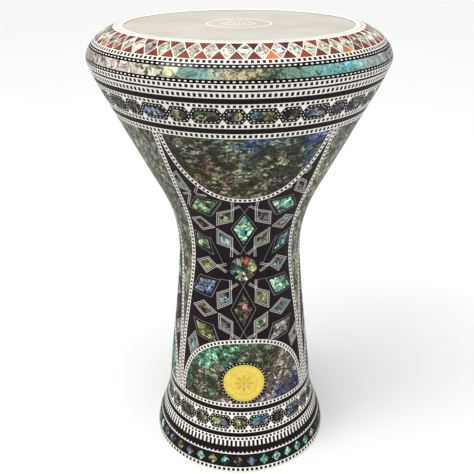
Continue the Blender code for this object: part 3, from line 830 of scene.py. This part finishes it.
# Chips of the hexagons, left and right of each, from the one just left of the front
SHOULDER_CHIPS = (
    (TEAL, OLIVE), (MURK, MURK), (BLUE, SMOKE), (SMOKE, SMOKE), (SMOKE, MURK), (MURK, SMOKE),
    (OLIVE, MURK), (SMOKE, BLUE), (MURK, SMOKE), (BLUE, MURK), (GREEN, MURK), (MURK, OLIVE),
    (SMOKE, ROSE), (TEAL, MURK), (MURK, OLIVE), (SMOKE, SMOKE), (BLUE, GREEN), (MURK, MURK),
    (SMOKE, OLIVE), (MURK, BLUE), (ROSE, MURK), (SMOKE, SMOKE), (TEAL, SMOKE), (OLIVE, MURK),
    (MURK, SMOKE), (SMOKE, MURK), (SMOKE, SMOKE), (MURK, SMOKE), (MURK, TEAL), (SMOKE, GREEN),
    (SMOKE, MURK), (MURK, SMOKE), (BLUE, SMOKE), (OLIVE, MURK), (GREEN, ROSE), (SMOKE, OLIVE),
)
FOOT_CHIPS = (
    (TEAL, BLUE), (MURK, MURK), (BLUE, TEAL), (SMOKE, MURK), (MURK, GREEN), (SMOKE, SMOKE),
    (MURK, OLIVE), (GREEN, MURK), (BLUE, MURK), (MURK, SMOKE), (MURK, TEAL), (SMOKE, OLIVE),
    (MURK, MURK), (SMOKE, GREEN), (OLIVE, MURK), (MURK, SMOKE), (MURK, TEAL), (SMOKE, MURK),
    (MURK, SMOKE), (OLIVE, MURK), (MURK, MURK), (MURK, OLIVE), (GREEN, SMOKE), (OLIVE, MURK),
)
chain("shoulder_chain_band", 14.9, 30.4, 18, -0.7, SHOULDER_CHIPS)
chain("foot_chain_band", 363.5, 379.1, 12, 3.1, FOOT_CHIPS)

BARS = 119
TEETH = 126
TOOTH = ((-0.75, 404.7), (0, 402.6), (0.75, 404.7))
bars = Inlay(BODY)
bars.lay(beads(round_drum(391.1, 397, BARS), BARS, *BAR))
bars.lay(hoop(397, 404.6, EBONY, TEETH))
bars.lay(hoop(404.6, 405.6, IVORY, TEETH, 1))
for k in range(TEETH):
    a = 360 * (k + 0.5) / TEETH
    bars.lay([(IVORY, [(a + x, s) for x, s in TOOTH])], LAYER, DOT)
bars.done("foot_bar_band", "bead_strip")

# Shell of the foot's diamonds, in order round it
FOOT_FINISHES = (
    TEAL, MINT, TEAL, MINT, MINT, MINT, MINT, SMOKE, GREEN, ROSE, TEAL, MINT, BLUE, SMOKE, OLIVE,
    GREEN, MINT, SMOKE, BLUE, MINT, OLIVE, GREEN, TEAL, SMOKE, MINT, ROSE, GREEN, MINT, BLUE,
    OLIVE, SMOKE, MINT, MINT, MINT, GREEN, BLUE, OLIVE, BLUE, MINT, OLIVE, MINT, ROSE,
)
FOOT_TOP, FOOT_MIDDLE, FOOT_BOTTOM = 407.5, 413.2, 418.9
FOOT_HALF_WIDTH = 5.1
foot_across = math.degrees(FOOT_HALF_WIDTH / BODY.radius(413))
foot = Inlay(BODY)
foot.lay(hoop(405.6, 420.4, GROUND, TEETH))
for k, finish in enumerate(FOOT_FINISHES):
    a = 360 * (k + 0.5) / len(FOOT_FINISHES)
    corners, back = flat(BODY, [
        (a - foot_across, FOOT_MIDDLE), (a, FOOT_TOP), (a + foot_across, FOOT_MIDDLE),
        (a, FOOT_BOTTOM),
    ])
    foot.patch(corners, back, finish)
foot.done("foot_diamond_band", "abalone_diamond")

# --- goblet: the three fields ---

PANEL_TOP, PANEL_BOTTOM = 46, 349.4
STRIP_HALF = 2.15
BEAD_PITCH = 4.2
CURVE_SAMPLES = 400
# How far round a field reaches, as (down, degrees)
BORDER = smooth_curve(
    ((40, 39.9), (115, 43.4), (190, 48.6), (258, 55.1), (290, 57.3), (355, 57.9))
)
LENS_POWER = 2.3
LENS_HALF, LENS_BOTTOM = 37.4, 118.4
ARCH_HALF, ARCH_TOP = 53.9, 278.7
LENS_END = 0.985  # where a lens is cut off at its tips
LENS_COLUMNS, LENS_ROWS = 46, 16
FIELDS = 3
FIELD_TURN = 360 / FIELDS
PANEL_TUCK = 0.6  # how far a mosaic stops short of its strip's middle, in half strips
WEDGE_COLUMNS, WEDGE_ROWS, WEDGE_GAP, WEDGE_SUNK = 14, 90, 1.4, 0.05
WEDGE_START = 59.9  # a wedge never starts further round than this
GROUND_COLUMNS, GROUND_ROWS, GROUND_SUNK, GROUND_THICK = 44, 110, 0.1, 0.6
GROUND_TOP, GROUND_BOTTOM, GROUND_INSET = 60, 346, 0.5
MEDALLION_DOWN = 325.2
MEDALLION_RADIUS = 21.1
BEAD_RING_WIDTH = 2.8


def border(down):
    return float(np.interp(down, BORDER[:, 0], BORDER[:, 1]))


def lens_edge(share, half, base, tip, inset):
    """A point of a lens outline, share from -1 to 1 across it, moved in by inset."""
    turn = share * pi / 2
    across, along = sin(turn), cos(turn)
    reach = (abs(across) ** LENS_POWER + along**LENS_POWER) ** (-1 / LENS_POWER)
    inwards = math.copysign(inset, inset * (tip - base))
    down = base + (tip - base - inwards) * reach * along
    narrow = math.degrees(inset / BODY.radius(down))
    return across * reach * (half - narrow), down


def upper_lens(share, inset=0):
    return lens_edge(share, LENS_HALF, PANEL_TOP, LENS_BOTTOM, inset)


def lower_arch(share, inset=0):
    return lens_edge(share, ARCH_HALF, PANEL_BOTTOM, ARCH_TOP, inset)


def evenly(curve, pitch, low, high):
    """Turns cell numbers along a curve of (degrees, down) into its own parameter, by length."""
    shares = np.linspace(low, high, CURVE_SAMPLES)
    path = [curve(x) for x in shares]
    reach = [0]
    for (a, s), (b, t) in zip(path, path[1:]):
        step = hypot(radians(b - a) * BODY.radius((s + t) / 2), t - s)
        reach.append(reach[-1] + step)
    count = round(reach[-1] / pitch)
    return count, lambda u: float(np.interp(u / count * reach[-1], reach, shares))


def lens_beads(node, outline, turn):
    count, share = evenly(outline, BEAD_PITCH, -LENS_END, LENS_END)
    shapes = beads(lambda u, v: outline(share(u), v * STRIP_HALF), count, *SQUARE)
    one_piece(node, "bead_strip", shapes, turn, 2 * LAYER)


def border_beads(node, side, turn):
    count, down = evenly(lambda s: (side * border(s), s), BEAD_PITCH, PANEL_TOP, PANEL_BOTTOM)

    def place(u, v):
        s = down(u)
        return side * (border(s) - math.degrees(v * STRIP_HALF / BODY.radius(s))), s

    one_piece(node, "bead_strip", beads(place, count, *SQUARE), turn, 1.6 * LAYER)


def lens_panel(node, outline, base, finish, slot, turn):
    """Mosaic inside a lens outline."""
    edge = [outline(x, STRIP_HALF * PANEL_TUCK) for x in spread(-LENS_END, LENS_END, LENS_COLUMNS)]
    rows = [[(a, base + (s - base) * t) for a, s in edge] for t in spread(0, 1, LENS_ROWS)]
    one_piece(node, slot, grid(rows, finish), turn)


def wedge(node, turn):
    """Mosaic between this field's right border and the next one's left border."""
    rows = []
    for s in spread(PANEL_TOP, PANEL_BOTTOM, WEDGE_ROWS):
        left = min(border(s) + math.degrees(WEDGE_GAP / BODY.radius(s)), WEDGE_START)
        rows.append([(a, s) for a in spread(left, FIELD_TURN - left, WEDGE_COLUMNS)])
    one_piece(node, "grey_mosaic", grid(rows, GREY_MOSAIC), turn, -WEDGE_SUNK)


def around(radius, ray):
    """(degrees, down) at a radius from the medallion's centre."""
    down = MEDALLION_DOWN - radius * sin(ray)
    return math.degrees(radius * cos(ray) / BODY.radius(down)), down


def rings_of(radii, finish, count=72):
    """Rings of quads round the medallion's centre, closed at the middle when a radius is 0."""
    rays = [tau * k / count for k in range(count + 1)]
    return grid([[around(radius, ray) for ray in rays] for radius in radii], finish)


def oval(finish, middle, long, wide, ray, sides):
    """An oval that lies along a ray from the medallion's centre."""
    outline = []
    for i in range(sides):
        t = tau * i / sides
        out, across = middle + long * cos(t), wide * sin(t)
        outline.append(around(hypot(out, across), ray + math.atan2(across, out)))
    return [(finish, outline)]


# The medallion's raised rim, its grooves and the layers it is laid in, in millimetres
DISC_RADII = (20.9, 15, 10, 5, 0)
DISC_RIM = (20.9, 19.9)
# Each groove is a thin raised ring of darker gold, painted shade standing in for a cut groove.
GROOVES = ((19.5, 19.1), (13.6, 13.2))
DISC_LIFT, RIM_LIFT, GROOVE_LIFT, PETAL_LIFT, BUTTON_LIFT = 0.15, 0.4, 0.25, 0.28, 0.3
PETALS = 8
PETAL_SHAPE = (6.4, 3.4, 1.5)  # how far out its middle is, half length, half width
RING_BEADS = 38
RING_TUCK = 0.3  # how far the ring reaches in under the disc's edge
RING_BEAD = (0.55, 0.62)  # a bead's half sizes, out from the disc and along the ring
BEAD_OUTWARDS = 0.15  # how far outside the ring's middle its beads sit


def medallion(number, turn):
    """A stamped disc with a raised rim and a plain rosette, in a dotted black ring."""
    disc = Inlay(BODY, turn)
    disc.lay(rings_of(DISC_RADII, GOLD), DISC_LIFT)
    disc.lay(rings_of(DISC_RIM, GOLD), RIM_LIFT)
    # The grooves, petals and button are laid in darker gold, painted shade of the stamped relief.
    for groove in GROOVES:
        disc.lay(rings_of(groove, GOLD_PAINTED_SHADE), GROOVE_LIFT)
    for k in range(PETALS):
        disc.lay(oval(GOLD_PAINTED_SHADE, *PETAL_SHAPE, tau * k / PETALS, 12), PETAL_LIFT)
    disc.lay(rings_of((2.2, 1, 0), GOLD_PAINTED_SHADE, 16), BUTTON_LIFT)
    disc.done(f"medallion_{number}", "medallion_brass", name=f"medallion_{number}_disc")

    outer, inner = MEDALLION_RADIUS + BEAD_RING_WIDTH, MEDALLION_RADIUS - RING_TUCK
    middle = (outer + inner) / 2 + BEAD_OUTWARDS
    ring = Inlay(BODY, turn)
    ring.lay(rings_of((outer, inner), EBONY), LAYER)
    for k in range(RING_BEADS):
        ray = tau * (k + 0.5) / RING_BEADS
        ring.lay(oval(IVORY, middle, *RING_BEAD, ray, 8), 2 * LAYER, DOT)
    ring.done(f"medallion_bead_ring_{number}", "bead_strip", name=f"medallion_{number}_beads")


# Motifs of a field on its right side: outline corners as (degrees, down)
SMALL = (
    ((7.1, 129.8), (19, 135.8), (21, 153), (7.9, 146)),
    ((8.6, 166.3), (21.2, 156.2), (22.7, 174.4), (9, 178.9)),
    ((22.2, 155.5), (32.8, 144.2), (42.2, 149.2), (33.8, 161.5)),
    ((23, 199.3), (31.9, 191), (45, 198), (34.4, 209.2)),
    ((10.5, 221), (24, 228), (22.9, 245.5), (9.9, 237)),
    ((8.9, 257), (21.9, 249), (21.2, 265.6), (8.9, 272)),
    ((23.3, 249), (36.4, 239), (48.3, 247.4), (35.1, 256.8)),
)
SMALL_FINISHES = (
    (GREEN, SMOKE), (TEAL, GREEN), (AMBER, SMOKE), (OLIVE, TEAL), (BLUE, OLIVE),
    (SMOKE, GREEN), (AMBER, TEAL),
)
# Small motifs in the corners, which differ from side to side
CORNERS = (
    (((-44.5, 276.3), (-39.8, 290.9), (-47.8, 304.7), (-53, 290.5)), BLUE),
    (((53.8, 273.9), (55.6, 289), (45.2, 297.6), (43, 283.4)), PALE),
    (((-42.4, 95.5), (-37.2, 88.5), (-32.8, 112.8), (-40, 110.4)), GREEN),
    (((30.4, 96.5), (38, 103.8), (41.6, 121.7), (30.6, 112.3)), SMOKE),
)
LARGE = (
    ((17, 122), (30.5, 120), (37, 133.6), (25.2, 139.5)),
    ((41, 167.2), (42, 179), (29, 184.4), (31, 171.5)),
    ((23.8, 215.8), (40.2, 215.2), (47.5, 229.8), (30.4, 231.7)),
    ((44.5, 264.1), (40, 277), (23.3, 281), (28, 265.5)),
)
LARGE_FINISHES = ((GREEN, MINT), (GREEN, TEAL), (BLUE, MINT), (OLIVE, PALE))
# Silver lines that run on past the corners of the small motifs: two points each
TAILS = (
    ((7.9, 130), (3, 126)), ((7.6, 132), (7.9, 119.8)),
    ((9.6, 176), (10.4, 188.3)), ((9.9, 178), (3.9, 185)),
    ((24, 198.6), (15, 204.7)), ((24, 199.9), (15, 196.4)),
    ((11.4, 221.4), (5, 216.8)), ((11.1, 223), (11.4, 213.2)),
    ((9.6, 270), (10.9, 278.4)), ((9.8, 271.4), (3.3, 275.8)),
)
# Short silver lines tucked in the upper corners, which differ from side to side
SCRAPS = (
    ((-30.2, 112.8), (-27.5, 105.2)), ((-29.5, 114.2), (-23, 114.7)),
    ((-39.8, 117.5), (-33.8, 114.2)), ((-33.8, 114.2), (-40, 132.2)),
    ((21.2, 109.9), (27.8, 106.1)), ((33.5, 92.9), (36.2, 86.7)),
)
# Hairlines that run on past the outlines of the large motifs
LONG_HAIRS = (
    ((28.5, 168), (17.5, 197)), ((22.6, 141), (14.5, 122)),
    ((20.8, 213.6), (28.6, 234)), ((26.8, 262.6), (19.6, 283)),
    ((21, 213), (11.5, 213.5)),
)
RHOMBI = ((7.8, 138.4, 173.2, 9.9, 133.6, 178.8), (7.9, 226.9, 262, 10.9, 219.2, 268.5))
RHOMBUS_FINISHES = (MINT, ROSE)


# Distances in from a motif's outline, negative for out, and widths of lines
FRAMES = ((0, 0.55), (1.65, 2.2))
MOTIF_SHELL = 2.8
HAIR_FRAME = (-2.4, -2.1)
HAIR_WIDTH = 0.3
CROSS_HAIR_WIDTH = 0.32
CROSS_HAIR_OVERRUN = 0.28
DOUBLE_OFFSET, DOUBLE_WIDTH = 0.85, 0.5


def small_motif(piece, corners, finish):
    """A silver double frame round a piece of shell."""
    shape, back = flat(BODY, list(corners))
    for start, end in FRAMES:
        piece.lay(rim(shape, back, start, end, SILVER), LAYER, THIN)
    piece.patch(shrink(shape, MOTIF_SHELL), back, finish)


def large_motif(piece, corners, finish):
    """A piece of shell with a hairline standing off round it."""
    shape, back = flat(BODY, list(corners))
    piece.patch(shape, back, finish, 4)
    piece.lay(rim(shape, back, *HAIR_FRAME, HAIRLINE), LAYER, THIN)


def double_line(piece, start, end):
    (a, b), back = flat(BODY, [start, end])
    for offset in (-DOUBLE_OFFSET, DOUBLE_OFFSET):
        side = sideways(a, b, offset)
        piece.lay(line(back(a + side), back(b + side), DOUBLE_WIDTH, SILVER), LAYER * 1.3, THIN)


def mirrored(corners, side):
    return [(side * a, s) for a, s in corners]


ROSETTE_DOWN = 200.6
ROSETTE_RADIUS = 12.8
ROSETTE_GAP = 0.03
# Rays of the rosette in degrees, and the shell that follows each
ROSETTE_SHARDS = ((-24, OLIVE), (22, OLIVE), (58, CORAL), (84, OLIVE), (104, PALE), (146, MURK),
                  (184, TEAL), (222, GREEN), (258, PALE), (292, ROSE))


def rosette(piece):
    """A round of shell made of broad shards."""

    def back(p):
        s = ROSETTE_DOWN - p.y
        return math.degrees(p.x / BODY.radius(s)), s

    rays = [ray for ray, _ in ROSETTE_SHARDS] + [ROSETTE_SHARDS[0][0] + 360]
    for (start, finish), end in zip(ROSETTE_SHARDS, rays[1:]):
        turns = spread(radians(start) + ROSETTE_GAP, radians(end) - ROSETTE_GAP, 4)
        ways = [Vector((cos(t), sin(t))) for t in turns]
        inner = ways[2] * 0.9
        rows = [[back(inner.lerp(way * ROSETTE_RADIUS, share)) for way in ways]
                for share in (0, 0.35, 0.7, 1)]
        piece.lay(grid(rows, finish), LAYER, THIN)


# A field's mosaics: panel, strip round it, outline, level side, finish and slot
LENSES = (
    ("upper_lens_panel", "upper_lens_strip", upper_lens, PANEL_TOP, DARK_MOSAIC, "dark_mosaic"),
    ("lower_lens_panel", "lower_arch_strip", lower_arch, PANEL_BOTTOM, GREEN_MOSAIC,
     "green_mosaic"),
)


def field(number, turn):
    """The black ground with its motifs, and the mosaics and strips that frame it."""
    ground = Inlay(BODY, turn)
    rows = []
    for s in spread(GROUND_TOP, GROUND_BOTTOM, GROUND_ROWS):
        reach = border(s) - GROUND_INSET
        rows.append([(a, s) for a in spread(-reach, reach, GROUND_COLUMNS)])
    ground.lay(grid(rows, GROUND), -GROUND_SUNK, GROUND_THICK)
    for pick, side in enumerate((-1, 1)):
        for corners, finish in zip(SMALL, SMALL_FINISHES):
            small_motif(ground, mirrored(corners, side), finish[pick])
        for corners, finish in zip(LARGE, LARGE_FINISHES):
            large_motif(ground, mirrored(corners, side), finish[pick])
        for tail in TAILS:
            double_line(ground, *mirrored(tail, side))
        for hair in LONG_HAIRS:
            ends = mirrored(hair, side)
            ground.lay(line(*ends, HAIR_WIDTH, HAIRLINE), LAYER * 0.8, THIN)
    for corners, finish in CORNERS:
        small_motif(ground, corners, finish)
    for scrap in SCRAPS:
        double_line(ground, *scrap)
    for (half, top, bottom, out, high, low), finish in zip(RHOMBI, RHOMBUS_FINISHES):
        level = (top + bottom) / 2
        shape, back = flat(BODY, [(-half, level), (0, top), (half, level), (0, bottom)])
        ground.patch(shape, back, finish, 4)
        for far in (-out, out):
            for reach, lift in ((high, LAYER), (low, LAYER * 1.1)):
                end = (-far * CROSS_HAIR_OVERRUN, reach + (reach - level) * CROSS_HAIR_OVERRUN)
                hair = line((far, level), end, CROSS_HAIR_WIDTH, HAIRLINE)
                ground.lay(hair, lift, THIN)
    rosette(ground)
    ground.done(f"field_panel_{number}", "black_field")
    for panel, _, outline, base, finish, slot in LENSES:
        lens_panel(f"{panel}_{number}", outline, base, finish, slot, turn)
    for _, strip, outline, _, _, _ in LENSES:
        lens_beads(f"{strip}_{number}", outline, turn)
    for side, word in ((-1, "left"), (1, "right")):
        border_beads(f"border_strip_{word}_{number}", side, turn)
    wedge(f"wedge_panel_{number}", turn)
    medallion(number, turn)


for k in range(FIELDS):
    field(k + 1, FIELD_TURN * k)

# --- head print ---

HEAD_TOP = 438.5
PRINT_HIGH, PRINT_SUNK = 0.06, 0.05
PETAL_RINGS, PETAL_CIRCLE = 6, 9.4


def print_ring(outer, inner, count, centre=(0, 0)):
    low, high = HEAD_TOP - PRINT_SUNK, HEAD_TOP + PRINT_HIGH
    printed.turned([(inner, low), (outer, low), (outer, high), (inner, high)], count, PRINT, centre)


# A plain printed ring with a small rosette, at the middle of the head
printed = Inlay(None)
print_ring(29.6, 28.4, 96)
print_ring(4.8, 3.8, 32)
for k in range(PETAL_RINGS):
    t = tau * k / PETAL_RINGS
    print_ring(5.4, 4.5, 32, (PETAL_CIRCLE * cos(t), PETAL_CIRCLE * sin(t)))
printed.done(None, "drumhead", name="head_print")

# --- CAD pieces that show ---

CAD_FINISHES = {
    "goblet_shell": CAST,
    "tension_ring": TURNED,
    "flesh_hoop": TURNED,
    "drumhead_film": HEAD_FILM,
}
CAD_FINISHES.update({f"tuning_bolt_{k}": STEEL for k in range(1, 9)})
for name, finish in CAD_FINISHES.items():
    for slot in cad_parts[name].material_slots:
        slot.material = finish

# --- floor, light and camera ---

FLOOR_REACH = 6
FLOOR_PALE, FLOOR_PALEST = 0.86, 0.9
WORLD_LIGHT, WORLD_SEEN = 0.32, 1  # brightness for the drum and floor, and for the camera
# Lamps: name, place, point aimed at, size, watts, colour
LAMPS = (
    ("key", (-0.95, -0.45, 1.65), (0, 0, 0.35), (0.55, 0.55), 9, (1, 1, 1)),
    ("fill", (1.5, -0.9, 0.9), (0, 0, 0.25), (0.7, 1.1), 5, (0.95, 0.98, 1)),
)
SKY_STRENGTH, SKY_ANGLE, SKY_TILT = 2.6, 70, (16, -8)

sheet = bpy.data.meshes.new("floor")
corners = [(x * FLOOR_REACH, y * FLOOR_REACH, 0) for x, y in ((-1, -1), (1, -1), (1, 1), (-1, 1))]
sheet.from_pydata(corners, [], [(0, 1, 2, 3)])
s = Shader("floor", 0.7)
cloud = s.noise(s.place, 3)
pale = s.ramp(cloud, ((0, (FLOOR_PALE,) * 3), (1, (FLOOR_PALEST,) * 3)))
sheet.materials.append(s.finish(pale))
floor = placed("floor", sheet)

world = bpy.data.worlds.new("studio")
world.use_nodes = True
backdrop = world.node_tree.nodes["Background"]
backdrop.inputs[0].default_value = (1, 1, 1, 1)
sight = world.node_tree.nodes.new("ShaderNodeLightPath")
level = world.node_tree.nodes.new("ShaderNodeMapRange")
level.inputs["To Min"].default_value = WORLD_LIGHT
level.inputs["To Max"].default_value = WORLD_SEEN
world.node_tree.links.new(sight.outputs["Is Camera Ray"], level.inputs["Value"])
world.node_tree.links.new(level.outputs[0], backdrop.inputs[1])
bpy.context.scene.world = world

for name, place, target, size, power, colour in LAMPS:
    light = bpy.data.lights.new(name, "AREA")
    light.shape = "RECTANGLE"
    light.size, light.size_y = size
    light.energy = power
    light.color = colour
    lamp = placed(name, light)
    lamp.location = place
    away = Vector(place) - Vector(target)
    lamp.rotation_euler = away.to_track_quat("Z", "Y").to_euler()
sky = bpy.data.lights.new("sky", "SUN")
sky.energy = SKY_STRENGTH
sky.angle = radians(SKY_ANGLE)
placed("sky", sky).rotation_euler = (*(radians(a) for a in SKY_TILT), 0)

CAMERA_PLACE = Vector((-0.00267, -0.63011, 0.51855))
LOOKING_DOWN = 0.433
ROLL = -0.00383
ORBIT = radians(-3)
SENSOR, FOCAL_LENGTH = 36, 51.26
camera = bpy.data.cameras.new("camera")
camera.sensor_width = SENSOR
camera.lens = FOCAL_LENGTH
camera.clip_start = 0.01
eye = placed("camera", camera)
eye.matrix_world = (
    Matrix.Rotation(ORBIT, 4, "Z")
    @ Matrix.Translation(CAMERA_PLACE)
    @ Matrix.Rotation(pi / 2 - LOOKING_DOWN, 4, "X")
    @ Matrix.Rotation(ROLL, 4, "Z")
)
bpy.context.scene.camera = eye
bpy.context.scene.view_settings.view_transform = "Standard"
